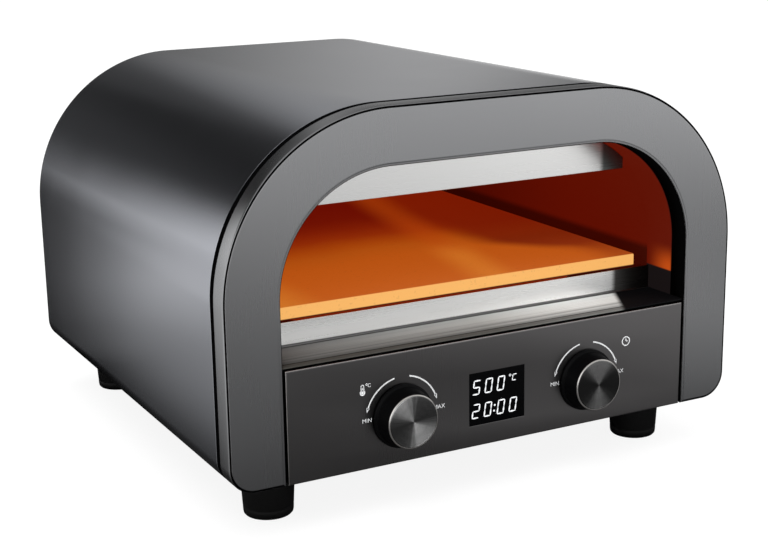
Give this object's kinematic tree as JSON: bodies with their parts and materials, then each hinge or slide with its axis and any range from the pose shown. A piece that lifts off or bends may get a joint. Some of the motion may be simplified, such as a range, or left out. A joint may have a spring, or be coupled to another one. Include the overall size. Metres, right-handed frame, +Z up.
{
  "type": "electric pizza oven",
  "caption": "Countertop electric pizza oven: arched steel case on feet, an open mouth with a sliding baking stone, heating elements, control dials and a digital display.",
  "frame": {"origin": "on the ground under the middle of the overall box, between the feet", "axes": "+Z up, the mouth and the dials face -Y, +X is to the right seen from the front"},
  "size_m": [0.44, 0.468, 0.306],
  "materials": {
    "shell_coat": "satin",
    "frame_coat": "satin metallic",
    "panel_coat": "satin",
    "black_coat": "matte",
    "display_black": "gloss",
    "knob_black": "matte",
    "knob_metal": "brushed dark",
    "foot_black": "satin",
    "sill_steel": "brushed",
    "mouth_steel": "satin",
    "chamber_steel": "heat-tinted",
    "baking_stone": "matte",
    "element_metal": "glowing",
    "white_ceramic": "matte",
    "zinc_steel": "plated",
    "ceramic_wool": "matte",
    "circuit_green": "satin",
    "black_plastic": "matte",
    "white_plastic": "satin",
    "relay_blue": "satin",
    "core_yellow": "lacquered"
  },
  "bodies": {
    "oven": {"outer_shell": "shell_coat", "front_frame": "frame_coat", "front_bulkhead": "black_coat", "rear_panel": "black_coat", "base_plate": "black_coat", "control_panel": "panel_coat", "display_window": "display_black", "display_module": "black_plastic", "control_board": "circuit_green", "board_standoffs": "zinc_steel", "temp_encoder": "zinc_steel", "temp_encoder_nut": "zinc_steel", "timer_encoder": "zinc_steel", "timer_encoder_nut": "zinc_steel", "mouth_ring": "mouth_steel", "mouth_sill": "sill_steel", "sill_trim": "sill_steel", "mouth_baffle": "sill_steel", "chamber_liner": "chamber_steel", "chamber_floor": "chamber_steel", "chamber_rear_wall": "chamber_steel", "stone_rail_left": "chamber_steel", "stone_rail_right": "chamber_steel", "rail_rivets": "zinc_steel", "upper_element": "element_metal", "lower_element": "element_metal", "element_clips": "chamber_steel", "element_bushes": "white_ceramic", "temperature_probe": "zinc_steel", "thermal_cutout": "white_ceramic", "wiring_harness": "white_plastic", "insulation_blanket": "ceramic_wool", "floor_insulation": "ceramic_wool", "rear_insulation": "ceramic_wool", "heat_shield": "zinc_steel", "foot_front_left": "foot_black", "foot_front_right": "foot_black", "foot_rear_left": "foot_black", "foot_rear_right": "foot_black", "foot_screws": "zinc_steel", "fan_housing": "black_plastic", "power_board": "circuit_green", "power_board_posts": "zinc_steel", "transformer": "core_yellow", "relays": "relay_blue", "terminal_block": "white_plastic", "cord_gland": "black_plastic", "gland_nut": "black_plastic", "frame_screws": "zinc_steel", "panel_screws": "zinc_steel", "rear_panel_screws": "zinc_steel", "base_screws": "zinc_steel"},
    "temp_dial": {"temp_knob": "knob_black", "temp_knob_cap": "knob_metal", "temp_shaft": "zinc_steel"},
    "timer_dial": {"timer_knob": "knob_black", "timer_knob_cap": "knob_metal", "timer_shaft": "zinc_steel"},
    "stone": {"pizza_stone": "baking_stone"},
    "rotor": {"fan_rotor": "black_plastic"}
  },
  "joints": [
    {"name": "temp_turn", "type": "hinge", "parent": "oven", "child": "temp_dial", "pos_m": [-0.082, -0.217, 0.0765], "axis": [0, 1, 0], "continuous": true},
    {"name": "timer_turn", "type": "hinge", "parent": "oven", "child": "timer_dial", "pos_m": [0.082, -0.217, 0.0765], "axis": [0, 1, 0], "continuous": true},
    {"name": "stone_slide", "type": "slide", "parent": "oven", "child": "stone", "axis": [0, -1, 0], "range_m": [0, 0.38]},
    {"name": "fan_spin", "type": "hinge", "parent": "oven", "child": "rotor", "pos_m": [0.1, 0.22235, 0.08], "axis": [0, 1, 0], "continuous": true}
  ]
}
